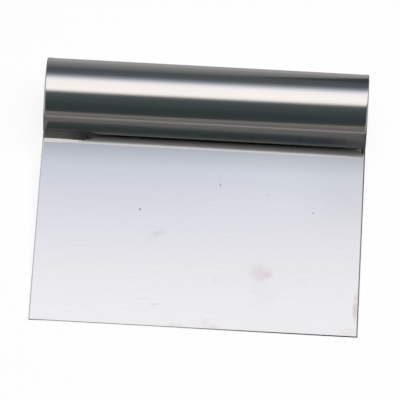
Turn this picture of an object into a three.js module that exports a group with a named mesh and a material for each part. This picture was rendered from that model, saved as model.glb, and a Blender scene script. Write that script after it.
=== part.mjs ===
// Dough scraper: a flat steel blade with a curled tang, and a polished tube rolled round the tang as the
// handle. Ground weld fillets close the seam at both ends. Millimetres, +Z up. The scraper lies on its
// back on a table at Z = 0: X runs along the handle and -Y points to the scraping edge.
import * as THREE from 'three';

// Driving dimensions
const width = 150; // across the blade and along the handle
const handleDiameter = 36.4; // outside of the rolled tube
const handleWall = 0.8; // gauge of the tube's sheet
const bladeGauge = 0.8; // gauge of the blade's sheet
const bladeReach = 98; // from the handle to the scraping edge
const bladeSetback = 3; // how far the middle of the blade's sheet lies behind the tube's axis
const easeRadius = 100; // gentle curve of the blade ahead of its bend, at the middle of the sheet
const easeTurn = THREE.MathUtils.degToRad(2.5); // how far that curve turns the sheet
const bendRadius = 2.4; // bend of the blade into the tube, at the middle of the sheet
const tangWrap = THREE.MathUtils.degToRad(150); // how far the tang follows the inside of the tube
const bevelHeight = 2; // ground strip along the scraping edge
const bevelDepth = 0.3; // what the grinding takes off the sheet there
const edgeBreak = 0.3; // chamfer on the cut ends of both sheets
const mostEdgeBreak = 0.4; // share of the thinnest wall that a chamfer may take

// Clearances
const seatGap = 0.3; // between pieces that lie against each other
const seamGap = 1.2; // open seam between the tube's front lip and the blade

// Weld fillets
const leftWeldLength = 20;
const leftWeldLeg = 4; // along the blade
const rightWeldLength = 3.4;
const rightWeldLeg = 1.2; // along the blade
const weldTubeLeg = 2; // along the tube
const weldHollow = 0.6; // how far the ground face is drawn into the corner, from 0, flat, to 1
const weldRunOut = 1.2; // rounded length at each end of a fillet
const weldTip = 0.35; // share of the section left at the very end
const weldInset = 0.3; // from the end of the handle

// Facets
const arcStep = THREE.MathUtils.degToRad(4);
const fewestArcSteps = 5;
const weldSteps = 5; // along each side of a fillet's section, and along its rounded ends
const samePoint = 1e-6;

// Section of the scraper. The first coordinate runs up the blade towards the handle, the second comes out
// of the blade's front face, and the tube's axis is the origin. The blade is flat up to flatEnd, curves gently
// back about easeCentre, and bends sharply about neckCentre under the tube's front lip. It turns the other
// way where it meets the tang's circle at a tangent.
const axis = new THREE.Vector2(0, 0);
const outerRadius = handleDiameter / 2;
const innerRadius = outerRadius - handleWall;
const wallRadius = outerRadius - handleWall / 2;
const tangRadius = innerRadius - seatGap - bladeGauge / 2;
const neckDistance = bendRadius + tangRadius;
const easeReach = easeRadius - bendRadius; // between the centres of the two curves
const neckDrop = bladeSetback + easeRadius - easeReach * Math.cos(easeTurn);
const bendLine = -Math.sqrt(neckDistance ** 2 - neckDrop ** 2);
const flatEnd = bendLine - easeReach * Math.sin(easeTurn);
const easeCentre = new THREE.Vector2(flatEnd, -bladeSetback - easeRadius);
const easeStart = Math.PI / 2;
const neckCentre = new THREE.Vector2(bendLine, -neckDrop);
const neckStart = easeStart - easeTurn;
const neckEnd = Math.atan2(neckDrop, -bendLine);
const tangStart = Math.PI + neckEnd;
const tangEnd = tangStart + tangWrap;
const neckFrontRadius = bendRadius + bladeGauge / 2;
const bladeFront = bladeGauge / 2 - bladeSetback;
const bladeBack = bladeFront - bladeGauge;
const scrapingEdge = -outerRadius - bladeReach;

function polar(centre, radius, angle) {
  return new THREE.Vector2(centre.x + radius * Math.cos(angle), centre.y + radius * Math.sin(angle));
}

function arcSteps(from, to) {
  return Math.max(fewestArcSteps, Math.ceil(Math.abs(to - from) / arcStep));
}

function arc(centre, radius, from, to, steps = arcSteps(from, to)) {
  return Array.from({ length: steps + 1 }, (_, i) => polar(centre, radius, from + ((to - from) * i) / steps));
}

// Round end of a sheet that lies on a circle about the tube's axis. It runs on from the angle in the
// direction of turn, which is 1 or -1, from the outer face to the inner one.
function roundLip(radius, gauge, angle, turn) {
  const centre = polar(axis, radius, angle);
  return arc(centre, gauge / 2, angle, angle + turn * Math.PI);
}

// Angle opposite the side c of a triangle.
function triangleAngle(a, b, c) {
  return Math.acos((a * a + b * b - c * c) / (2 * a * b));
}

// Outline from stretches of points, without the points that repeat where two stretches meet.
function outline(...stretches) {
  const points = stretches.flat();
  return new THREE.Shape(points.filter((point, i) => point.distanceTo(points.at(i - 1)) > samePoint));
}

// Section carried along the handle, with the sharp corners of its two cut ends broken.
function sheetAlongHandle(section, thinnest) {
  const chamfer = Math.min(edgeBreak, mostEdgeBreak * thinnest);
  const geometry = new THREE.ExtrudeGeometry(section, {
    depth: width - 2 * chamfer,
    bevelThickness: chamfer,
    bevelSize: chamfer,
    bevelOffset: -chamfer,
    bevelSegments: 1,
  });
  geometry.translate(0, 0, chamfer - width / 2);
  geometry.rotateX(Math.PI / 2);
  geometry.rotateZ(Math.PI / 2);
  return geometry;
}

function bladeSection() {
  const bevelTop = new THREE.Vector2(scrapingEdge + bevelHeight, bladeFront);
  const edgeFront = new THREE.Vector2(scrapingEdge, bladeFront - bevelDepth);
  return outline(
    [new THREE.Vector2(scrapingEdge, bladeBack)],
    arc(easeCentre, easeRadius - bladeGauge / 2, easeStart, neckStart),
    arc(neckCentre, bendRadius - bladeGauge / 2, neckStart, neckEnd),
    arc(axis, tangRadius + bladeGauge / 2, tangStart, tangEnd),
    roundLip(tangRadius, bladeGauge, tangEnd, 1),
    arc(axis, tangRadius - bladeGauge / 2, tangEnd, tangStart),
    arc(neckCentre, neckFrontRadius, neckEnd, neckStart),
    arc(easeCentre, easeRadius + bladeGauge / 2, neckStart, easeStart),
    [bevelTop, edgeFront],
  );
}

// The tube's sheet starts behind the blade, where the tang begins, and runs round the back, the top and the
// front to a lip that stops short of the blade's bend by the seam.
function tubeSection() {
  const lipReach = neckFrontRadius + seamGap + handleWall / 2;
  const frontLip = tangStart + 2 * Math.PI - triangleAngle(wallRadius, neckDistance, lipReach);
  return outline(
    arc(axis, outerRadius, tangStart, frontLip),
    roundLip(wallRadius, handleWall, frontLip, 1),
    arc(axis, innerRadius, frontLip, tangStart),
    roundLip(wallRadius, handleWall, tangStart, -1).reverse(),
  );
}

// Fillet in the corner between the tube's foot and the blade's gentle curve, its legs shortened to a share of
// their full length. The corner is where the two faces, each moved out by the seat gap, cross.
function weldSection(share, bladeLeg) {
  const tubeSeat = outerRadius + seatGap;
  const bladeSeat = easeRadius + bladeGauge / 2 + seatGap;
  const easeDistance = easeCentre.length();
  const cornerOnTube = easeCentre.angle() - triangleAngle(tubeSeat, easeDistance, bladeSeat);
  const cornerOnBlade = easeCentre.angle() - Math.PI + triangleAngle(bladeSeat, easeDistance, tubeSeat);
  const tubeToe = cornerOnTube - (share * weldTubeLeg) / tubeSeat;
  const bladeToe = cornerOnBlade + (share * bladeLeg) / bladeSeat;
  const tubeSide = arc(axis, tubeSeat, tubeToe, cornerOnTube, weldSteps);
  const bladeSide = arc(easeCentre, bladeSeat, cornerOnBlade, bladeToe, weldSteps);
  const corner = tubeSide.at(-1);
  const drawn = tubeSide[0].clone().lerp(bladeSide.at(-1), 0.5).lerp(corner, weldHollow);
  const face = new THREE.QuadraticBezierCurve(bladeSide.at(-1), drawn, tubeSide[0]);
  return [...tubeSide, ...bladeSide.slice(1), ...face.getPoints(weldSteps).slice(1, -1)].reverse();
}

// Loft of weld sections that starts at x and is as long as length, rounded off at both ends.
function weldFillet(x, length, bladeLeg) {
  const stations = [];
  for (let i = 0; i <= weldSteps; i += 1) {
    const turn = (Math.PI / 2) * (i / weldSteps);
    stations.push({
      inset: weldRunOut * (1 - Math.cos(turn)),
      share: weldTip + (1 - weldTip) * Math.sin(turn),
    });
  }
  const places = [
    ...stations.map(({ inset, share }) => ({ x: x + inset, share })),
    ...stations.toReversed().map(({ inset, share }) => ({ x: x + length - inset, share })),
  ];
  const rings = places.map((place) => ({ x: place.x, points: weldSection(place.share, bladeLeg) }));
  const count = rings[0].points.length;
  const index = [];
  for (let ring = 0; ring + 1 < rings.length; ring += 1) {
    for (let i = 0; i < count; i += 1) {
      const a = ring * count + i;
      const b = ring * count + ((i + 1) % count);
      index.push(a, b, b + count, a, b + count, a + count);
    }
  }
  const lastRing = (rings.length - 1) * count;
  for (const [a, b, c] of THREE.ShapeUtils.triangulateShape(rings[0].points, [])) {
    index.push(a, c, b, lastRing + a, lastRing + b, lastRing + c);
  }
  const corners = rings.flatMap((ring) => ring.points.flatMap((point) => [ring.x, point.x, point.y]));
  const geometry = new THREE.BufferGeometry();
  geometry.setAttribute('position', new THREE.Float32BufferAttribute(corners, 3));
  geometry.setIndex(index);
  geometry.computeVertexNormals();
  return geometry;
}

// Finishes
const satinSteel = new THREE.MeshStandardMaterial({ color: 0xd4d6dc, roughness: 0.36, metalness: 1 });
const polishedSteel = new THREE.MeshStandardMaterial({ color: 0xc4c8ca, roughness: 0.12, metalness: 1 });
const groundWeld = new THREE.MeshStandardMaterial({ color: 0x8e8c88, roughness: 0.45, metalness: 1 });

function piece(name, geometry, material) {
  const mesh = new THREE.Mesh(geometry, material);
  mesh.name = name;
  return mesh;
}

// Lying on its back, the scraper touches the table with the tube and with the scraping edge's back corner.
const edgeReach = Math.hypot(scrapingEdge, bladeBack);
const restTilt = Math.asin(outerRadius / edgeReach) - Math.atan2(-bladeBack, -scrapingEdge);
const leftWeldStart = weldInset - width / 2;
const rightWeldStart = width / 2 - weldInset - rightWeldLength;
const lying = new THREE.Group();
lying.rotation.x = restTilt;
lying.add(
  piece('blade', sheetAlongHandle(bladeSection(), bladeGauge - bevelDepth), satinSteel),
  piece('handle_tube', sheetAlongHandle(tubeSection(), handleWall), polishedSteel),
  piece('weld_left', weldFillet(leftWeldStart, leftWeldLength, leftWeldLeg), groundWeld),
  piece('weld_right', weldFillet(rightWeldStart, rightWeldLength, rightWeldLeg), groundWeld),
);

// The origin is under the middle of the scraper, on the table.
const scraper = new THREE.Group();
scraper.add(lying);
const box = new THREE.Box3().setFromObject(scraper, true);
lying.position.set(0, -(box.min.y + box.max.y) / 2, -box.min.z);

export default scraper;
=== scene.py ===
"""Dough scraper lying on its back: satin blade, polished tube rolled round its tang, two ground welds."""
import math
from collections import namedtuple

import bpy
import numpy as np
from mathutils import Matrix, Vector


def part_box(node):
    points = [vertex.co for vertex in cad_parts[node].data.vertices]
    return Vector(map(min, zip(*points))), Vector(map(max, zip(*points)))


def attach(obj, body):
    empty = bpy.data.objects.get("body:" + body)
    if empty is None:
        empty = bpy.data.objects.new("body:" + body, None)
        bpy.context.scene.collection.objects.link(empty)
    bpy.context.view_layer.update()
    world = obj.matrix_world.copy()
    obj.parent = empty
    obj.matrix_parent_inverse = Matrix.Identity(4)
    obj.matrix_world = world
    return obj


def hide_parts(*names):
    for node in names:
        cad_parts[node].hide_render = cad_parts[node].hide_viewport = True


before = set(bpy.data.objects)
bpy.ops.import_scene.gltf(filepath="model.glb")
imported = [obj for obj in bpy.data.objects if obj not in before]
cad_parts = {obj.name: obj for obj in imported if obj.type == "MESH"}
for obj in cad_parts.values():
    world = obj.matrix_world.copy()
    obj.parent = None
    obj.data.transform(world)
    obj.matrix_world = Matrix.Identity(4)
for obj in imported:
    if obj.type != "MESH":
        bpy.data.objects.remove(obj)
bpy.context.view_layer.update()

# Sizes of the sheets and the seam, in metres
TUBE_WALL = 0.0008
BLADE_GAUGE = 0.0008
BLADE_REACH = 0.098
BLADE_SETBACK = 0.003
EASE_RADIUS = 0.100
EASE_TURN = math.radians(2.5)
BEND_RADIUS = 0.0024
TANG_WRAP = math.radians(150)
BEVEL_HEIGHT = 0.002
BEVEL_DEPTH = 0.00012
SEAT_GAP = 0.0003
SEAM_GAP = 0.0015
BLADE_CROWN = 0.00018
CROWN_CURVE_TOP = 0.344
BLADE_SIDE_ROUND = 0.0007
SCRAPING_EDGE_ROUND = 0.0001
TUBE_END_ROUND = 0.0009

# Welds, in metres: along the handle from its middle, and in section up the blade and out of its front from
# the tube's axis. A weld is blunt at its outer end and tapers to a tip in the seam. most_slide is the share
# of its ground strip that is gone where the grinding has ended, and the last field is the least share of
# its face that is dark with scale and painted shade.
Weld = namedtuple("Weld", "outer_end tip blunt taper knee toe most_slide least_scale")
LEFT_WELD = Weld(
    outer_end=-0.0749,
    tip=-0.0478,
    blunt=0.0006,
    taper=0.0080,
    knee=(-0.0211, -0.00238),
    toe=-0.0238,
    most_slide=0.98,
    least_scale=0.0,
)
RIGHT_WELD = Weld(
    outer_end=0.0747,
    tip=0.0705,
    blunt=0.0008,
    taper=0.0030,
    knee=(-0.0196, -0.0022),
    toe=-0.0203,
    most_slide=0.0,
    least_scale=0.78,
)
WELD_TUBE_TOE = math.pi + math.radians(3.0)
WELD_BLUNT_SHARE = 0.55
WELD_TIP_SHARE = 0.03
WELD_SINK = 0.00012
WELD_KNEE_ROUND = 0.00012
GRINDING_FADE = (-0.0690, -0.0535)

# Relief of the welds: waves in radians per metre along and up, with a phase, and a crater in the left one
WELD_WAVES = ((2300, 0, 0), (910, 0, 1), (4100, 1500, 0))
WELD_WAVE_DEPTH = 0.000005
CRATER = (-0.0547, -0.0206)
CRATER_SIZE = 0.0006
CRATER_DEPTH = 0.0004
# How strongly the crater is painted near black, as shade in its pit
CRATER_SHADE_GAIN = 1.8

# Dark scale on the welds, also painted shade under the tube's lip: how much, how far past the knee it
# starts, and over what length it blurs
SCALE_AND_SHADE_LEVEL = 0.6
SCALE_AND_SHADE_START = 0.0001
SCALE_AND_SHADE_SLIDE = 0.0004
SCALE_AND_SHADE_BLUR = 0.00006

# Grid steps, and the finer stations next to a cut end, in metres from its rim
ARC_STEP = math.radians(1.5)
FEWEST_ARC_STEPS = 6
BEVEL_STEPS = 6
BLADE_STEPS = 60
RIM_STEPS = 8
STATIONS = 64
END_STATIONS = np.array([0, 0.0004, 0.0012, 0.003])
END_STRETCH = 0.006
WELD_BLUNT_STEPS = 12
WELD_MIDDLE_STEPS = 140
WELD_TAPER_STEPS = 60
WELD_SIDE_STEPS = 14
WELD_FACE_STEPS = 30
SHELL_STEPS = 72

# The section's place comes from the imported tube: its axis, and half its height as its radius
tube_low, tube_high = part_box("handle_tube")
WIDTH = tube_high.x - tube_low.x
OUTER_RADIUS = (tube_high.z - tube_low.z) / 2
AXIS_Y = tube_high.y - OUTER_RADIUS
AXIS_Z = tube_low.z + OUTER_RADIUS

# Section of the scraper: up the blade, and out of its front face, from the tube's axis
WALL_RADIUS = OUTER_RADIUS - TUBE_WALL / 2
TANG_RADIUS = OUTER_RADIUS - TUBE_WALL - SEAT_GAP - BLADE_GAUGE / 2
NECK_DISTANCE = BEND_RADIUS + TANG_RADIUS
EASE_REACH = EASE_RADIUS - BEND_RADIUS
NECK_DROP = BLADE_SETBACK + EASE_RADIUS - EASE_REACH * math.cos(EASE_TURN)
BEND_LINE = -math.sqrt(NECK_DISTANCE**2 - NECK_DROP**2)
FLAT_END = BEND_LINE - EASE_REACH * math.sin(EASE_TURN)
NECK_START = math.pi / 2 - EASE_TURN
NECK_END = math.atan2(NECK_DROP, -BEND_LINE)
TANG_START = math.pi + NECK_END
NECK_FRONT = BEND_RADIUS + BLADE_GAUGE / 2
BLADE_FRONT = BLADE_GAUGE / 2 - BLADE_SETBACK
BLADE_BACK = BLADE_FRONT - BLADE_GAUGE
SCRAPING_EDGE = -OUTER_RADIUS - BLADE_REACH
EDGE_DISTANCE = math.hypot(SCRAPING_EDGE, BLADE_BACK)
TILT = math.asin(OUTER_RADIUS / EDGE_DISTANCE) - math.atan2(-BLADE_BACK, -SCRAPING_EDGE)


def on_table(x, up, out):
    """Row coordinates of section points: the section turned by the resting tilt about the tube's axis."""
    x, up, out = np.broadcast_arrays(x, up, out)
    y = AXIS_Y + up * math.cos(TILT) - out * math.sin(TILT)
    z = AXIS_Z + up * math.sin(TILT) + out * math.cos(TILT)
    return np.stack([x, y, z], axis=-1)


def triangle_angle(a, b, c):
    """Angle opposite the side c of a triangle, by the cosine rule."""
    return math.acos((a * a + b * b - c * c) / (2 * a * b))


def straight(first, last, steps):
    """Points on the line from first to last, all facing its left-hand side."""
    share = np.linspace(0, 1, steps + 1)[:, None]
    points = np.array(first) * (1 - share) + np.array(last) * share
    run = np.subtract(last, first) / np.linalg.norm(np.subtract(last, first))
    return points, np.broadcast_to([-run[1], run[0]], points.shape)


def sweep(centre, radius, first, last, facing):
    """Points on a circle from angle first to last; facing 1 looks away from its centre, -1 towards it."""
    steps = max(FEWEST_ARC_STEPS, round(abs(last - first) / ARC_STEP))
    angle = np.linspace(first, last, steps + 1)
    spoke = np.stack([np.cos(angle), np.sin(angle)], axis=-1)
    return np.array(centre) + radius * spoke, facing * spoke


def chain(*stretches):
    """One line from stretches that meet end to end, without the points that repeat."""
    points = np.concatenate([p[min(i, 1):] for i, (p, _) in enumerate(stretches)])
    facing = np.concatenate([f[min(i, 1):] for i, (_, f) in enumerate(stretches)])
    return points, facing


def run_along(line):
    """Distance from the line's start to each of its points."""
    return np.concatenate([[0], np.cumsum(np.linalg.norm(np.diff(line, axis=0), axis=1))])


def outward(vertices, faces):
    """Quads turned so that the closed surface's volume, summed over triangles to the origin, is positive."""
    corners = vertices[faces]
    first = np.einsum("ij,ij->i", corners[:, 0], np.cross(corners[:, 1], corners[:, 2]))
    second = np.einsum("ij,ij->i", corners[:, 0], np.cross(corners[:, 2], corners[:, 3]))
    return faces if (first + second).sum() > 0 else faces[:, ::-1]


def quads_between(rings):
    """Quads between the rows of an index grid whose columns close into rings."""
    beyond = np.roll(rings, -1, axis=1)
    return np.stack([beyond[:-1], rings[:-1], rings[1:], beyond[1:]], axis=-1).reshape(-1, 4)


def without_repeats(faces):
    """Faces as lists, a quad with a corner that repeats written as a triangle."""
    return [list(dict.fromkeys(face)) for face in faces.tolist()]


def make_piece(name, node, slot, vertices, faces, places, skin, material):
    """Smooth mesh object with its surface places as a UV map and its skin side as an attribute."""
    mesh = bpy.data.meshes.new(name)
    mesh.from_pydata(vertices, [], faces)
    mesh.polygons.foreach_set("use_smooth", np.ones(len(mesh.polygons), dtype=bool))
    corner = np.empty(len(mesh.loops), dtype=np.int32)
    mesh.loops.foreach_get("vertex_index", corner)
    mesh.uv_layers.new(name="sheet").uv.foreach_set("vector", places[corner].astype(np.float32).ravel())
    mesh.attributes.new("skin", "FLOAT", "POINT").data.foreach_set("value", skin.astype(np.float32))
    mesh.materials.append(material)
    mesh.update()
    piece = bpy.data.objects.new(name, mesh)
    bpy.context.scene.collection.objects.link(piece)
    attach(piece, "root")
    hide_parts(node)


def bent_sheet(line, facing, front, back, first_lip, last_lip, end_round):
    """Sheet that follows a line and is carried along the handle, with every rim rounded.

    A skin point is the line's point plus its facing direction times the front offset, or minus the back
    one, at each station along the handle. The rim runs round the grid's border. At a turn from 90 to -90
    degrees it is the border point, plus the facing direction times the middle of the two offsets and half
    their sum times the turn's sine, plus the outward direction times the rim's reach and the turn's cosine.
    The skin value is 1 on the front, -1 on the back and the turn's sine on the rim.
    """
    reach = WIDTH / 2 - end_round
    middle = np.linspace(-reach + END_STRETCH, reach - END_STRETCH, STATIONS)
    x = np.concatenate([-reach + END_STATIONS, middle, (reach - END_STATIONS)[::-1]])
    rows, columns = len(line), len(x)
    front_skin = on_table(x, *(line + facing * front[:, None]).T[:, :, None])
    back_skin = on_table(x, *(line - facing * back[:, None]).T[:, :, None])

    # Row and column of each border point, once round: first row, last column, last row, first column
    row = np.repeat([0, -1, rows - 1, -1], [columns - 1, rows - 1, columns - 1, rows - 1])
    row[columns - 1:columns + rows - 2] = np.arange(rows - 1)
    row[2 * columns + rows - 3:] = np.arange(rows - 1, 0, -1)
    column = np.repeat([-1, columns - 1, -1, 0], [columns - 1, rows - 1, columns - 1, rows - 1])
    column[:columns - 1] = np.arange(columns - 1)
    column[columns + rows - 2:2 * columns + rows - 3] = np.arange(columns - 1, 0, -1)

    first_way = (line[0] - line[1]) / np.linalg.norm(line[0] - line[1])
    last_way = (line[-1] - line[-2]) / np.linalg.norm(line[-1] - line[-2])
    way = first_way * first_lip * (row == 0)[:, None] + last_way * last_lip * (row == rows - 1)[:, None]
    way_x = end_round * ((column == columns - 1) * 1.0 - (column == 0))
    turn = np.linspace(math.pi / 2, -math.pi / 2, RIM_STEPS + 1)[1:-1, None]
    offset = (front - back)[row] / 2 + (front + back)[row] / 2 * np.sin(turn)
    section = line[row] + facing[row] * offset[..., None] + way * np.cos(turn)[..., None]
    rim = on_table(x[column] + way_x * np.cos(turn), section[..., 0], section[..., 1])

    vertices = np.concatenate([front_skin.reshape(-1, 3), back_skin.reshape(-1, 3), rim.reshape(-1, 3)])
    grid = np.arange(rows * columns).reshape(rows, columns)
    patch = np.stack([grid[:-1, :-1], grid[:-1, 1:], grid[1:, 1:], grid[1:, :-1]], axis=-1).reshape(-1, 4)
    border = grid[row, column]
    rings = np.concatenate([
        border[None],
        2 * rows * columns + np.arange(rim.shape[0] * rim.shape[1]).reshape(rim.shape[:2]),
        rows * columns + border[None],
    ])
    faces = np.concatenate([patch, rows * columns + patch[:, ::-1], quads_between(rings)])

    run = run_along(line)
    grid_places = np.stack(np.broadcast_arrays(x, run[:, None]), axis=-1).reshape(-1, 2)
    border_places = np.stack([x[column], run[row]], axis=-1)
    rim_places = np.broadcast_to(border_places, (*rim.shape[:2], 2)).reshape(-1, 2)
    places = np.concatenate([grid_places, grid_places, rim_places])
    side = np.ones(rows * columns)
    skin = np.concatenate([side, -side, np.broadcast_to(np.sin(turn), rim.shape[:2]).ravel()])
    return vertices, outward(vertices, faces), places, skin


def crown(up):
    """How far the blade stands out of its plane.

    It is BLADE_CROWN times h - 4 h^4 + 3 h^5 over that curve's largest value, where h goes from 0 at the
    scraping edge to 1 at the bend, and the curve is level and back at 0 there.
    """
    height = np.clip((up - SCRAPING_EDGE) / (BEND_LINE - SCRAPING_EDGE), 0, 1)
    return BLADE_CROWN * (height - 4 * height**4 + 3 * height**5) / CROWN_CURVE_TOP


def blade_surface():
    """Blade: crowned from the scraping edge, eased back, bent under the tube and curled in it as a tang."""
    first = (SCRAPING_EDGE + SCRAPING_EDGE_ROUND, -BLADE_SETBACK)
    bevel_top = (SCRAPING_EDGE + BEVEL_HEIGHT, -BLADE_SETBACK)
    last = (FLAT_END, -BLADE_SETBACK)
    line, facing = chain(
        straight(first, bevel_top, BEVEL_STEPS),
        straight(bevel_top, last, BLADE_STEPS),
        sweep((FLAT_END, -BLADE_SETBACK - EASE_RADIUS), EASE_RADIUS, math.pi / 2, NECK_START, 1),
        sweep((BEND_LINE, -NECK_DROP), BEND_RADIUS, NECK_START, NECK_END, 1),
        sweep((0, 0), TANG_RADIUS, TANG_START, TANG_START + TANG_WRAP, -1),
    )
    line[:, 1] += crown(line[:, 0])
    back = np.full(len(line), BLADE_GAUGE / 2)
    above_edge = np.clip(run_along(line) + SCRAPING_EDGE_ROUND, 0, BEVEL_HEIGHT)
    front = back - BEVEL_DEPTH * (1 - above_edge / BEVEL_HEIGHT)
    return bent_sheet(line, facing, front, back, SCRAPING_EDGE_ROUND, BLADE_GAUGE / 2, BLADE_SIDE_ROUND)


def tube_surface():
    """Tube: one circle from the lip behind the blade, over the top, to the lip short of its front."""
    lip_reach = NECK_FRONT + SEAM_GAP + TUBE_WALL / 2
    lip = TANG_START + 2 * math.pi - triangle_angle(WALL_RADIUS, NECK_DISTANCE, lip_reach)
    line, facing = sweep((0, 0), WALL_RADIUS, TANG_START, lip, 1)
    half = np.full(len(line), TUBE_WALL / 2)
    return bent_sheet(line, facing, half, half, TUBE_WALL / 2, TUBE_WALL / 2, TUBE_END_ROUND)


def weld_surface(weld):
    """Ground weld in the corner between the tube's lip and the blade.

    Each section runs from its toe on the tube along the tube's circle to the corner, along the blade to the
    toe there, and back over the face. The face is the smooth larger of two lines that cross at the knee: a
    ground one from the blade and a steep one, with dark scale that is also painted shade under the lip, from
    the tube. Where the grinding ends, the toe slides up to the knee. Every section shrinks towards the
    corner
    by a share: a quarter circle at the blunt end, 1 along the middle and a smooth step down to the tip. Slow
    waves are added to the face, and a round crater is taken off it. The skin is 1 where it is ground, lower
    on the scale and its painted shade, and 0 in the crater, which is painted dark as shade.
    """
    radius = OUTER_RADIUS - WELD_SINK
    seat = BLADE_FRONT + crown(weld.toe) - WELD_SINK
    corner_angle = math.pi - math.asin(seat / radius)
    corner_up = radius * math.cos(corner_angle)
    full_knee_up, full_knee_out = weld.knee

    way = math.copysign(1, weld.tip - weld.outer_end)
    turn = np.linspace(0, math.pi / 2, WELD_BLUNT_STEPS + 1)
    thin = np.linspace(1, 0, WELD_TAPER_STEPS + 1)
    blunt_x = weld.outer_end + way * weld.blunt * (1 - np.cos(turn))
    taper_x = weld.tip - way * weld.taper * thin
    middle_x = np.linspace(blunt_x[-1], taper_x[0], WELD_MIDDLE_STEPS + 1)[1:-1]
    x = np.concatenate([blunt_x, middle_x, taper_x])[:, None]
    blunt_share = WELD_BLUNT_SHARE + (1 - WELD_BLUNT_SHARE) * np.sin(turn)
    taper_share = WELD_TIP_SHARE + (1 - WELD_TIP_SHARE) * thin**2 * (3 - 2 * thin)
    share = np.concatenate([blunt_share, np.ones(len(middle_x)), taper_share])[:, None]

    side = np.linspace(0, 1, WELD_SIDE_STEPS + 1)
    angle = corner_angle - share * (corner_angle - WELD_TUBE_TOE) * (1 - side)
    tube_up, tube_out = radius * np.cos(angle), radius * np.sin(angle)
    fade = np.clip((x - GRINDING_FADE[0]) / (GRINDING_FADE[1] - GRINDING_FADE[0]), 0, 1)
    slid = weld.most_slide * fade**2
    knee_up = corner_up + share * (full_knee_up - corner_up)
    knee_out = seat + share * (1 - slid) * (full_knee_out - seat)
    toe_up = corner_up + share * (weld.toe + slid * (full_knee_up - weld.toe) - corner_up)
    blade_up = corner_up + (toe_up - corner_up) * side[1:]

    up = toe_up + (tube_up[:, :1] - toe_up) * np.linspace(0, 1, WELD_FACE_STEPS + 1)[1:-1]
    steep = knee_out + (up - knee_up) * (tube_out[:, :1] - knee_out) / (tube_up[:, :1] - knee_up)
    flat = seat + (up - toe_up) * (knee_out - seat) / (knee_up - toe_up)
    face = (steep + flat + np.hypot(steep - flat, WELD_KNEE_ROUND * share)) / 2
    pit = np.exp(-((x - CRATER[0]) ** 2 + (up - CRATER[1]) ** 2) / CRATER_SIZE**2)
    wave = sum(np.sin(x * along + up * across + phase) for along, across, phase in WELD_WAVES)
    face = np.maximum(face - CRATER_DEPTH * pit + WELD_WAVE_DEPTH * share * wave, seat)

    # Share of the face darkened: scale with painted shade past the knee, and painted shade in the crater
    past_knee = up - knee_up - SCALE_AND_SHADE_START + SCALE_AND_SHADE_SLIDE * slid
    scale_and_shade = SCALE_AND_SHADE_LEVEL / (1 + np.exp(-past_knee / SCALE_AND_SHADE_BLUR))
    darkening = np.maximum(np.maximum(np.minimum(CRATER_SHADE_GAIN * pit, 1), scale_and_shade), weld.least_scale)
    darkening = np.concatenate([np.full_like(tube_up, SCALE_AND_SHADE_LEVEL), np.zeros_like(blade_up), darkening], axis=1)
    skin = np.concatenate([1 - darkening.ravel(), np.full(2, 1 - SCALE_AND_SHADE_LEVEL)])

    loop_up = np.concatenate([tube_up, blade_up, up], axis=1)
    loop_out = np.concatenate([tube_out, np.full_like(blade_up, seat), face], axis=1)
    loops = on_table(x, loop_up, loop_out)
    stations, around = loop_up.shape
    vertices = np.concatenate([loops.reshape(-1, 3), loops[[0, -1]].mean(axis=1)])
    rings = np.arange(stations * around).reshape(stations, around)
    tips = np.repeat(stations * around + np.arange(2)[:, None], around, axis=1)
    rings = np.concatenate([tips[:1], rings, tips[1:]])
    faces = without_repeats(outward(vertices, quads_between(rings)))
    places = np.stack([np.broadcast_to(x, loop_up.shape), loop_up], axis=-1).reshape(-1, 2)
    return vertices, faces, np.concatenate([places, places[[0, -1]]]), skin


class Value:
    """A socket in a finish's node tree. Plus, minus, times, over and powers on it add Math nodes."""

    def __init__(self, finish, socket):
        self.finish = finish
        self.socket = socket

    def math(self, operation, first, second):
        return self.finish.node("ShaderNodeMath", {"operation": operation}, {0: first, 1: second})

    def __add__(self, other):
        return self.math("ADD", self, other)

    def __sub__(self, other):
        return self.math("SUBTRACT", self, other)

    def __rsub__(self, other):
        return self.math("SUBTRACT", other, self)

    def __mul__(self, other):
        return self.math("MULTIPLY", self, other)

    def __truediv__(self, other):
        return self.math("DIVIDE", self, other)

    def __pow__(self, other):
        return self.math("POWER", self, other)

    __radd__ = __add__
    __rmul__ = __mul__


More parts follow.
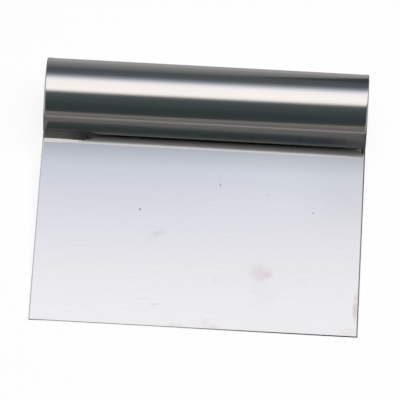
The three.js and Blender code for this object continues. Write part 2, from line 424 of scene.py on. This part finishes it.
class Finish:
    """A material or world and its nodes."""

    def __init__(self, block):
        block.use_nodes = True
        self.block = block
        self.tree = block.node_tree
        self.tree.nodes.clear()

    def node(self, kind, settings=None, inputs=None, output=0):
        """One output, if any, of a new node; its settings come first, then its sockets' values or links."""
        made = self.tree.nodes.new(kind)
        for key, value in (settings or {}).items():
            if key == "stops":
                for _ in value[2:]:
                    made.color_ramp.elements.new(0.5)
                for element, (position, colour) in zip(made.color_ramp.elements, value):
                    element.position = position
                    element.color = (*colour, 1)
            else:
                setattr(made, key, value)
        for key, value in (inputs or {}).items():
            if isinstance(value, Value):
                self.tree.links.new(value.socket, made.inputs[key])
            else:
                made.inputs[key].default_value = value
        return Value(self, made.outputs[output]) if made.outputs else None

    def place(self):
        """Distance along the handle, and along the bent sheet or up the weld's section, in metres."""
        spot = self.node("ShaderNodeUVMap", {"uv_map": "sheet"})
        return [self.node("ShaderNodeSeparateXYZ", None, {0: spot}, axis) for axis in "XY"]

    def skin(self):
        """Side of a sheet, or how cleanly a weld is ground, as its surface function says."""
        return self.node("ShaderNodeAttribute", {"attribute_name": "skin"}, None, "Fac")

    def lines(self, x, run, along, across, detail=2.0):
        """Noise from 0 to 1 with so many cells per metre along the handle and across it."""
        vector = self.node("ShaderNodeCombineXYZ", None, {0: x * along, 1: run * across})
        inputs = {"Vector": vector, "Scale": 1.0, "Detail": detail}
        return self.node("ShaderNodeTexNoise", {"noise_dimensions": "2D"}, inputs)

    def smooth(self, value, low, high):
        """0 below low, 1 above high, and a smooth step between them; low may be the larger one."""
        inputs = {0: value, 1: low, 2: high, 3: 0.0, 4: 1.0}
        return self.node("ShaderNodeMapRange", {"interpolation_type": "SMOOTHSTEP"}, inputs)

    def mark(self, x, run, place, size, rise):
        """Soft oval, sheared by its rise: 1 in its middle, 0 from its half sizes along and across."""
        along = x - place[0]
        far = (along / size[0]) ** 2.0 + ((run - place[1] - along * rise) / size[1]) ** 2.0
        return self.smooth(far, 1.0, MARK_CORE)

    def marks(self, x, run, table):
        """Sum of the soft oval marks in a table, each as strong as it says."""
        along, up = x * MILLIMETRES, run * MILLIMETRES
        return sum(self.mark(along, up, row[:2], row[2:4], row[4]) * row[5] for row in table)

    def mix(self, mask, first, second):
        """The first colour where the mask is 0, the second where it is 1."""
        return self.node("ShaderNodeMix", {"data_type": "RGBA"}, {0: mask, 6: first, 7: second}, 2)

    def surface(self, shader, kind="ShaderNodeOutputMaterial"):
        """The finished material or world, showing a shader."""
        self.node(kind, None, {0: shader})
        return self.block

    def steel(self, colour, roughness, relief, depth):
        """The finished metal, its relief as deep as depth, in metres."""
        bump = self.node("ShaderNodeBump", None, {"Strength": 1.0, "Distance": depth, "Height": relief})
        inputs = {"Base Color": colour, "Metallic": 1.0, "Roughness": roughness, "Normal": bump}
        return self.surface(self.node("ShaderNodeBsdfPrincipled", None, inputs))

    def glow(self, colour, level):
        """The finished light of a colour and a level."""
        return self.surface(self.node("ShaderNodeEmission", None, {"Color": colour, "Strength": level}))


def rgb(red, green, blue):
    return (red, green, blue, 1.0)


# Marks on the blade's front, in millimetres: place along the handle and up from the scraping edge, half
# sizes along and up, rise per length along, and strength
MILLIMETRES = 1000
MARK_CORE = 0.1
WORN_MARKS = (
    (-19.4, 46.8, 6.5, 3.0, 0.6, 0.04),
    (-18.2, 48.2, 4.0, 1.5, 0.3, 0.05),
    (-23.0, 13.6, 2.8, 0.7, 0.0, 0.08),
    (-17.2, 11.2, 4.6, 0.8, 0.1, 0.08),
    (-21.0, 9.6, 5.5, 3.0, 0.0, 0.03),
    (8.8, 25.0, 2.2, 1.4, 0.2, 0.06),
    (48.8, 27.6, 2.8, 1.4, 0.0, 0.05),
    (31.0, 19.5, 8.0, 11.0, 0.0, 0.03),
    (5.4, 3.5, 2.8, 1.8, 0.0, 0.10),
    (8.5, 77.3, 0.55, 3.2, -6.0, 0.18),
)
PINK_MARKS = (
    (29.5, 30.4, 7.6, 6.2, 0.0, 0.15),
    (34.0, 28.4, 5.0, 2.2, -0.5, 0.06),
    (-8.0, 1.0, 4.6, 1.2, 0.0, 0.18),
    (8.0, 1.3, 5.6, 1.3, 0.0, 0.20),
    (73.6, 15.0, 1.8, 10.0, 0.0, 0.30),
    (70.5, 2.4, 5.0, 2.2, 0.0, 0.12),
    (-69.0, 1.4, 7.0, 1.8, 0.0, 0.06),
)
SPECKS = (
    (-27.6, 60.1, 0.62, 0.5, 0.0, 0.85),
    (8.8, 75.2, 0.5, 0.6, 0.0, 0.45),
    (30.9, 71.4, 0.5, 0.4, 0.0, 0.35),
    (52.1, 62.9, 0.55, 0.45, 0.0, 0.60),
)

# Skin values between which a sheet's front, cut rim or inside begins, or a weld's scale with painted
# shade, or its crater painted dark as shade
SATIN_FRONT = (0.5, 0.9)
SATIN_CUT_FROM_FRONT = (0.999, 0.93)
SATIN_CUT_FROM_BACK = (-0.999, -0.93)
TUBE_INSIDE = (-0.2, -0.9)
TUBE_CUT = (0.995, 0.7)
WELD_SCALE_AND_SHADE = (0.85, 0.5)
WELD_CRATER = (0.3, 0.1)

# Least roughness of each finish, and the depth of its relief in metres
SATIN_ROUGHNESS = 0.12
SATIN_RELIEF = 0.000002
POLISHED_ROUGHNESS = 0.09
POLISHED_RELIEF = 0.0000008
WELD_ROUGHNESS = 0.17
WELD_RELIEF = 0.000006

# Tones of the satin sheet, in pairs where its lines mix two. The lower, middle and upper tones and the
# seam's tone darken up the blade as painted shade, and the corner's tone under the tube is painted shade too
LOWER_TONES = (rgb(0.67, 0.69, 0.72), rgb(0.725, 0.745, 0.775))
MIDDLE_TONES = (rgb(0.615, 0.628, 0.672), rgb(0.66, 0.674, 0.718))
UPPER_TONES = (rgb(0.59, 0.625, 0.66), rgb(0.635, 0.675, 0.71))
SEAM_SHADE_TONE = rgb(0.43, 0.448, 0.462)
CORNER_SHADE_TONE = rgb(0.37, 0.375, 0.38)
PAINTED_HIGHLIGHT_TONE = rgb(0.58, 0.58, 0.595)
SHADED_TONE = rgb(0.05, 0.05, 0.05)
WORN_TONE = rgb(0.30, 0.29, 0.30)
PINK_TONE = rgb(0.50, 0.38, 0.42)
SPECK_TONE = rgb(0.10, 0.10, 0.11)
RIM_REFLECTION_TONES = (rgb(0.80, 0.79, 0.78), rgb(0.16, 0.155, 0.155))
SHADED_SHARE = 0.085
RIM_SHARE = 0.8

# Where the satin sheet changes, in metres up the sheet from the scraping edge
TO_MIDDLE = (0.0, 0.06)
TO_UPPER = (0.062, 0.086)
TO_SEAM = (0.081, 0.098)
TO_CORNER = (0.0945, 0.0955)
PAINTED_HIGHLIGHT_START = (0.0930, 0.0937)
PAINTED_HIGHLIGHT_END = (0.0955, 0.0945)
TO_SHADED = (0.045, 0.07)
TO_SHADED_RIM = (0.06, 0.085)
TO_BUFFED = (0.0861, 0.0916)
TO_DULL_CORNER = (0.0936, 0.0960)

# Where the satin sheet changes, in metres along the handle from its middle
TO_SHADED_RIGHT = (0.035, 0.07)
TO_RIGHT_RIM = (-0.03, 0.04)
TO_SHADED_RIGHT_RIM = (0.0, 0.05)


def satin_steel():
    """Satin sheet: lines and streaks along the handle, faint clouds, worn and pinkish marks and specks.

    Its tone goes from the lower one through the middle and upper ones to that of the seam, darkening up the
    blade as painted shade, with painted shade in the corner under the tube, a painted highlight as a bright
    line on the gentle curve below the seam and a shaded upper right that is painted shade. The cut rims have
    painted reflections as their own tones, pale at the left and dark at the right, with painted shade at the
    upper right.
    """
    finish = Finish(bpy.data.materials.new("satin_steel"))
    x, run = finish.place()
    fine = finish.lines(x, run, along=14.0, across=2600.0)
    broad = finish.lines(x, run, along=5.0, across=420.0, detail=3.0)
    streaks = finish.lines(x, run, along=130.0, across=800.0, detail=4.0)
    cloud = finish.lines(x, run, along=120.0, across=160.0, detail=4.0)
    skin = finish.skin()
    front = finish.smooth(skin, *SATIN_FRONT)
    cut = finish.smooth(skin, *SATIN_CUT_FROM_FRONT) * finish.smooth(skin, *SATIN_CUT_FROM_BACK)
    patchy = front * (0.35 + 1.3 * finish.smooth(cloud, 0.3, 0.7))
    worn = finish.marks(x, run, WORN_MARKS) * patchy
    pink = finish.marks(x, run, PINK_MARKS) * patchy
    specks = finish.marks(x, run, SPECKS) * front

    tone = broad * 0.35 + streaks * 0.65
    # Painted shade: the tone darkens up the blade towards the seam, and more in the corner under the tube
    colour = finish.mix(tone, *LOWER_TONES)
    colour = finish.mix(finish.smooth(run, *TO_MIDDLE), colour, finish.mix(tone, *MIDDLE_TONES))
    colour = finish.mix(finish.smooth(run, *TO_UPPER), colour, finish.mix(tone, *UPPER_TONES))
    colour = finish.mix(finish.smooth(run, *TO_SEAM), colour, SEAM_SHADE_TONE)
    colour = finish.mix(finish.smooth(run, *TO_CORNER), colour, CORNER_SHADE_TONE)
    # Painted highlight: a bright line on the gentle curve below the seam
    painted_highlight = finish.smooth(run, *PAINTED_HIGHLIGHT_START) * finish.smooth(run, *PAINTED_HIGHLIGHT_END)
    colour = finish.mix(painted_highlight, colour, PAINTED_HIGHLIGHT_TONE)
    # Painted shade on the upper right of the blade
    shaded = finish.smooth(x, *TO_SHADED_RIGHT) * finish.smooth(run, *TO_SHADED)
    colour = finish.mix(shaded * SHADED_SHARE, colour, SHADED_TONE)
    colour = finish.mix(worn, colour, WORN_TONE)
    colour = finish.mix(pink, colour, PINK_TONE)
    colour = finish.mix(specks, colour, SPECK_TONE)
    # Painted reflections on the cut rims, pale at the left and dark at the right, with painted shade at the
    # upper right
    rim = finish.mix(finish.smooth(x, *TO_RIGHT_RIM), *RIM_REFLECTION_TONES)
    shaded_rim = finish.smooth(run, *TO_SHADED_RIM) * finish.smooth(x, *TO_SHADED_RIGHT_RIM)
    colour = finish.mix(cut * RIM_SHARE, colour, finish.mix(shaded_rim, rim, SHADED_TONE))

    buffed = finish.smooth(run, *TO_BUFFED)
    dull_corner = finish.smooth(run, *TO_DULL_CORNER)
    sheet = (SATIN_ROUGHNESS + fine * 0.05 + cloud * 0.03) * (1 - buffed * 0.6)
    roughness = sheet + dull_corner * 0.27 + (worn + pink) * 0.2 + specks * 0.3
    return finish.steel(colour, roughness, fine, SATIN_RELIEF)


# Tones of the polished sheet, its foot's paler tone being painted light on the dark lower front above the
# seam, and where its foot starts, along the sheet from its back lip, and gets dull, along the handle, in
# metres
TUBE_TONES = (rgb(0.72, 0.70, 0.692), rgb(0.785, 0.775, 0.76))
FOOT_PAINTED_LIGHT_TONE = rgb(0.88, 0.86, 0.84)
TUBE_RIM_TONE = rgb(0.38, 0.38, 0.38)
MILL_TONE = rgb(0.36, 0.36, 0.36)
TO_FOOT = (0.0985, 0.1015)
TO_DULL_FOOT = (0.056, 0.073)


def polished_steel():
    """Polished sheet: faint lines along the handle, a foot painted paler as painted light, a mill finish
    inside and dull cut ends.
    """
    finish = Finish(bpy.data.materials.new("polished_steel"))
    x, run = finish.place()
    fine = finish.lines(x, run, along=9.0, across=3300.0)
    broad = finish.lines(x, run, along=4.0, across=500.0, detail=3.0)
    cloud = finish.lines(x, run, along=45.0, across=45.0, detail=4.0)
    skin = finish.skin()
    inside = finish.smooth(skin, *TUBE_INSIDE)
    cut = finish.smooth(skin, *TUBE_CUT) * (1 - inside)
    foot = finish.smooth(run, *TO_FOOT)
    # Painted light: the foot is paler, lightening the dark lower front of the tube above the seam
    colour = finish.mix(foot, finish.mix(broad, *TUBE_TONES), FOOT_PAINTED_LIGHT_TONE)
    colour = finish.mix(cut * RIM_SHARE, colour, TUBE_RIM_TONE)
    colour = finish.mix(inside, colour, MILL_TONE)
    dull_foot = foot * (0.05 + 0.16 * finish.smooth(x, *TO_DULL_FOOT))
    sheet = POLISHED_ROUGHNESS + fine * 0.06 + cloud * 0.04
    roughness = sheet + dull_foot + cut * 0.15 + inside * 0.3
    return finish.steel(colour, roughness, fine, POLISHED_RELIEF)


# Tones of the welds, and where painted shade towards the tip starts and ends on the left one, in metres
# along the handle
GROUND_TONES = (rgb(0.52, 0.505, 0.485), rgb(0.65, 0.63, 0.61))
SCALE_AND_SHADE_TONES = (rgb(0.22, 0.213, 0.205), rgb(0.32, 0.31, 0.30))
TIP_SHADE_TONE = rgb(0.05, 0.05, 0.05)
CRATER_SHADE_TONE = rgb(0.015, 0.014, 0.014)
TIP_SHADE_SHARE = 0.6
TIP_SHADE_START = (-0.068, -0.053)
TIP_SHADE_END = (-0.045, -0.048)


def ground_weld():
    """Weld: grinding lines along the handle on warm grey metal, dark scale with painted shade in its corner,
    painted shade towards the left one's tip, and a black crater that is painted shade.
    """
    finish = Finish(bpy.data.materials.new("ground_weld"))
    x, run = finish.place()
    fine = finish.lines(x, run, along=60.0, across=6000.0)
    cloud = finish.lines(x, run, along=300.0, across=700.0, detail=3.0)
    skin = finish.skin()
    scale_and_shade = finish.smooth(skin, *WELD_SCALE_AND_SHADE)
    darkening = finish.smooth(skin, *WELD_CRATER)
    # Painted shade on the left weld towards its tip, where it runs into the dark seam
    tip_shade = finish.smooth(x, *TIP_SHADE_START) * finish.smooth(x, *TIP_SHADE_END)
    scale_and_shade_tone = finish.mix(tip_shade * TIP_SHADE_SHARE, finish.mix(cloud, *SCALE_AND_SHADE_TONES), TIP_SHADE_TONE)
    colour = finish.mix(scale_and_shade, finish.mix(cloud, *GROUND_TONES), scale_and_shade_tone)
    # Painted shade: the crater near black
    colour = finish.mix(darkening, colour, CRATER_SHADE_TONE)
    roughness = WELD_ROUGHNESS + fine * 0.12 + cloud * 0.05 + scale_and_shade * 0.06
    return finish.steel(colour, roughness, fine + cloud, WELD_RELIEF)


ground = ground_weld()
make_piece("satin_blade", "blade", "satin_steel", *blade_surface(), satin_steel())
make_piece("polished_tube", "handle_tube", "polished_steel", *tube_surface(), polished_steel())
make_piece("left_weld_bead", "weld_left", "ground_weld", *weld_surface(LEFT_WELD), ground)
make_piece("right_weld_bead", "weld_right", "ground_weld", *weld_surface(RIGHT_WELD), ground)

# Floor and the shell of light over the handle, in metres, with the panel's skew and bow in degrees per metre
# and per square metre along the handle
FLOOR_HALF = 4
FLOOR_TONE = rgb(0.92, 0.92, 0.92)
FLOOR_WHITE_SHARE = 0.88
FRONT_FOOT = 0.60
BACK_FOOT = 0.100
PANEL_HEIGHT = 0.36
PANEL_LEVEL = 1.24
PANEL_SKEW = 25
PANEL_BOW = 150
SHELL_HALF = 0.42
SHELL_OUTER_TONE = rgb(0.50, 0.505, 0.51)
SHELL_SOFT_END = (0.17, 0.27)

# Bands of the shell, in degrees about the handle's axis from the front over the top to the back
SHELL_STOPS = (
    (-10, (0.31, 0.31, 0.315)),
    (-3, (0.12, 0.115, 0.105)),
    (3, (0.13, 0.13, 0.12)),
    (5, (0.18, 0.18, 0.17)),
    (9, (0.17, 0.165, 0.155)),
    (12, (0.030, 0.041, 0.041)),
    (30, (0.030, 0.041, 0.041)),
    (55, (0.050, 0.066, 0.067)),
    (67, (0.072, 0.085, 0.088)),
    (71, (0.44, 0.43, 0.43)),
    (74, (0.82, 0.79, 0.775)),
    (78, (1.0, 0.955, 0.935)),
    (94, (1.0, 0.955, 0.94)),
    (100, (0.98, 0.95, 0.955)),
    (104, (0.92, 0.905, 0.93)),
    (108, (0.81, 0.81, 0.86)),
    (111, (0.68, 0.69, 0.755)),
    (115, (0.46, 0.475, 0.535)),
    (121, (0.215, 0.23, 0.265)),
    (129, (0.078, 0.092, 0.104)),
    (145, (0.066, 0.077, 0.084)),
    (152, (0.110, 0.116, 0.12)),
    (190, (0.33, 0.33, 0.335)),
)

# Cards on the floor, in metres, with the front apron's bands by the distance back
CARD_HALF = 0.0745
APRON_BACK = -0.066
APRON_LIFT = 0.0001
APRON_STOPS = (
    (-FRONT_FOOT, (0.12, 0.115, 0.11)),
    (-0.27, (0.12, 0.115, 0.11)),
    (-0.22, (0.40, 0.38, 0.36)),
    (-0.15, (0.40, 0.38, 0.36)),
    (-0.115, (0.12, 0.12, 0.12)),
    (APRON_BACK, (0.14, 0.14, 0.14)),
)
LEFT_APRON_TONE = rgb(0.14, 0.135, 0.13)
RIGHT_APRON_TONE = rgb(0.055, 0.06, 0.06)

# Strip of light on the floor along the scraping edge, with its levels by the distance to the right
STRIP_FRONT = -0.0700
STRIP_BACK = -0.0664
STRIP_LIFT = 0.00012
STRIP_LEVELS = (
    (-CARD_HALF, 0.30), (-0.068, 1.0), (-0.002, 1.0), (0.025, 0.70), (0.052, 0.32), (0.066, 0.04)
)

# Cards at the shell's ends: one level up to the foot's height, and then levels by height
END_REACH = 0.60
END_OUTLINE = ((-END_REACH, 0), (END_REACH, 0), (END_REACH, END_REACH), (-END_REACH, END_REACH))
END_FOOT = 0.03
LEFT_FOOT_LEVEL = 0.22
RIGHT_FOOT_LEVEL = 0.03
END_LEVELS = ((0.10, 0.62), (0.22, 0.85), (END_REACH, 0.6))

# Dark flag behind the right half of the handle
FLAG_CORNERS = ((0.012, 0.218, 0.112), (0.14, 0.222, 0.127), (0.14, 0.1547, 0.0294), (0.08, 0.1547, 0.0294))
FLAG_TONE = rgb(0.05, 0.06, 0.064)


def studio_shell():
    """Half pipe over the scraper, whose reach at an angle goes from its feet to its height with the sine."""
    angle = np.linspace(0, math.pi, SHELL_STEPS + 1)
    foot = FRONT_FOOT + (BACK_FOOT - FRONT_FOOT) * angle / math.pi
    reach = foot + (PANEL_HEIGHT - foot) * np.sin(angle)
    y, z = -reach * np.cos(angle), reach * np.sin(angle)
    left, right = (np.stack([np.full_like(y, end), y, z], axis=-1) for end in (-SHELL_HALF, SHELL_HALF))
    index = np.arange(SHELL_STEPS)
    beyond = index + len(angle)
    mesh = bpy.data.meshes.new("studio_shell")
    mesh.from_pydata(
        np.concatenate([left, right]), [], np.stack([index, index + 1, beyond + 1, beyond], axis=-1)
    )
    return mesh


def angle_from_handle(x, y, z):
    """Degrees from the front over the top to the back, about the handle's axis; the panel hangs askew."""
    turn = y.math("ARCTAN2", z - AXIS_Z, AXIS_Y - y) * (180 / math.pi)
    return turn - x * PANEL_SKEW - x * x * PANEL_BOW


def distance_right(x, y, z):
    return x


def distance_back(x, y, z):
    return y


def distance_up(x, y, z):
    return z


def banded_light(name, measure, stops, level=1.0, outer=None):
    """Light whose colour goes by a measure of the place, through stops of a measure and a colour each.

    Beyond SHELL_SOFT_END to either side it turns into the outer colour, if there is one.
    """
    finish = Finish(bpy.data.materials.new(name))
    spot = finish.node("ShaderNodeTexCoord", None, None, "Object")
    x, y, z = (finish.node("ShaderNodeSeparateXYZ", None, {0: spot}, axis) for axis in "XYZ")
    low, high = stops[0][0], stops[-1][0]
    ramp = [((at - low) / (high - low), colour) for at, colour in stops]
    share = (measure(x, y, z) - low) / (high - low)
    colour = finish.node("ShaderNodeValToRGB", {"stops": ramp}, {0: share})
    if outer:
        start, end = SHELL_SOFT_END
        colour = finish.mix(finish.smooth(x * x, start**2, end**2), colour, outer)
    return finish.glow(colour, level)


def grey_stops(levels):
    """Stops of a banded light from pairs of a measure and a grey level."""
    return [(at, (level, level, level)) for at, level in levels]


def plain_light(name, colour):
    return Finish(bpy.data.materials.new(name)).glow(colour, 1.0)


def seen_background(finish):
    """1 for the rays that show the background: from the camera, off metal and through glass."""
    camera, glossy, transmission = (
        finish.node("ShaderNodeLightPath", None, None, f"Is {kind} Ray")
        for kind in ("Camera", "Glossy", "Transmission")
    )
    settings = {"operation": "ADD", "use_clamp": True}
    return finish.node("ShaderNodeMath", settings, {0: camera, 1: glossy + transmission})


def pale_floor():
    """White floor: mostly its own white to the rays that show it, and a share that keeps the shadow."""
    finish = Finish(bpy.data.materials.new("pale_floor"))
    white = finish.node("ShaderNodeEmission", None, {"Color": rgb(1, 1, 1), "Strength": 1.0})
    matt = finish.node("ShaderNodeBsdfDiffuse", None, {"Color": FLOOR_TONE})
    white_share = seen_background(finish) * FLOOR_WHITE_SHARE
    return finish.surface(finish.node("ShaderNodeMixShader", None, {0: white_share, 1: matt, 2: white}))


def stage_object(name, mesh, material):
    mesh.materials.append(material)
    thing = bpy.data.objects.new(name, mesh)
    bpy.context.scene.collection.objects.link(thing)
    return thing


def card(name, corners, material):
    """Flat stage object with one face."""
    mesh = bpy.data.meshes.new(name)
    mesh.from_pydata(corners, [], [list(range(len(corners)))])
    return stage_object(name, mesh, material)


def level_corners(left, right, near, far, height):
    """Corners of a level card."""
    return [(left, near, height), (right, near, height), (right, far, height), (left, far, height)]


def show_only_in_metal(thing):
    thing.visible_camera = False
    thing.visible_diffuse = False
    thing.visible_shadow = False


card("floor", level_corners(-FLOOR_HALF, FLOOR_HALF, -FLOOR_HALF, FLOOR_HALF, 0), pale_floor())
shell_light = banded_light("shell_light", angle_from_handle, SHELL_STOPS, PANEL_LEVEL, SHELL_OUTER_TONE)
show_only_in_metal(stage_object("studio_shell", studio_shell(), shell_light))

front_apron = level_corners(-SHELL_HALF, SHELL_HALF, -FRONT_FOOT, APRON_BACK, APRON_LIFT)
left_apron = level_corners(-SHELL_HALF, -CARD_HALF, APRON_BACK, BACK_FOOT, APRON_LIFT)
right_apron = level_corners(CARD_HALF, SHELL_HALF, APRON_BACK, BACK_FOOT, APRON_LIFT)
edge_strip = level_corners(-CARD_HALF, CARD_HALF, STRIP_FRONT, STRIP_BACK, STRIP_LIFT)
strip_light = banded_light("edge_strip", distance_right, grey_stops(STRIP_LEVELS))
show_only_in_metal(card("front_apron", front_apron, banded_light("apron_light", distance_back, APRON_STOPS)))
show_only_in_metal(card("left_apron", left_apron, plain_light("left_apron", LEFT_APRON_TONE)))
show_only_in_metal(card("right_apron", right_apron, plain_light("right_apron", RIGHT_APRON_TONE)))
show_only_in_metal(card("edge_strip", edge_strip, strip_light))
show_only_in_metal(card("back_flag", FLAG_CORNERS, plain_light("back_flag", FLAG_TONE)))
for card_name, end, foot_level in (
    ("left_end_card", -SHELL_HALF, LEFT_FOOT_LEVEL),
    ("right_end_card", SHELL_HALF, RIGHT_FOOT_LEVEL),
):
    end_corners = [(end, y, z) for y, z in END_OUTLINE]
    end_stops = grey_stops(((0.0, foot_level), (END_FOOT, foot_level), *END_LEVELS))
    show_only_in_metal(card(card_name, end_corners, banded_light(card_name, distance_up, end_stops)))

# Lamp that draws the scraper's shadow on the floor, in metres and watts
LAMP_SIZE = 1.4
LAMP_POWER = 27.0
LAMP_PLACE = Vector((0.2, -0.1, 1.5))
lamp = bpy.data.lights.new("floor_lamp", "AREA")
lamp.shape = "DISK"
lamp.size = LAMP_SIZE
lamp.energy = LAMP_POWER
floor_lamp = bpy.data.objects.new("floor_lamp", lamp)
floor_lamp.location = LAMP_PLACE
floor_lamp.rotation_euler = (-LAMP_PLACE).to_track_quat("-Z", "Y").to_euler()
floor_lamp.visible_glossy = False
bpy.context.scene.collection.objects.link(floor_lamp)

world = Finish(bpy.data.worlds.new("studio"))
backdrop = {"Color": rgb(1, 1, 1), "Strength": seen_background(world)}
world.surface(world.node("ShaderNodeBackground", None, backdrop), "ShaderNodeOutputWorld")
bpy.context.scene.world = world.block
bpy.context.scene.view_settings.view_transform = "Standard"

# Camera at the photographed angle, with lengths in metres and the lens and its sensor in millimetres
LOOK_AT = Vector((-0.00015, -0.00654, 0.0178))
AZIMUTH = math.radians(1.237)
ELEVATION = math.radians(53.53)
ROLL = math.radians(2.118)
DISTANCE = 2.2285
SENSOR_WIDTH = 36.0
LENS = 436.49
NEAREST = 0.05
FARTHEST = 30.0
camera = bpy.data.objects.new("camera", bpy.data.cameras.new("camera"))
camera.data.sensor_width = SENSOR_WIDTH
camera.data.lens = LENS
camera.data.clip_start = NEAREST
camera.data.clip_end = FARTHEST
back_way = Vector((
    math.sin(AZIMUTH) * math.cos(ELEVATION), -math.cos(AZIMUTH) * math.cos(ELEVATION), math.sin(ELEVATION)
))
place = Matrix.Translation(LOOK_AT + back_way * DISTANCE)
level = (-back_way).to_track_quat("-Z", "Y").to_matrix().to_4x4()
camera.matrix_world = place @ level @ Matrix.Rotation(ROLL, 4, "Z")
bpy.context.scene.collection.objects.link(camera)
bpy.context.scene.camera = camera
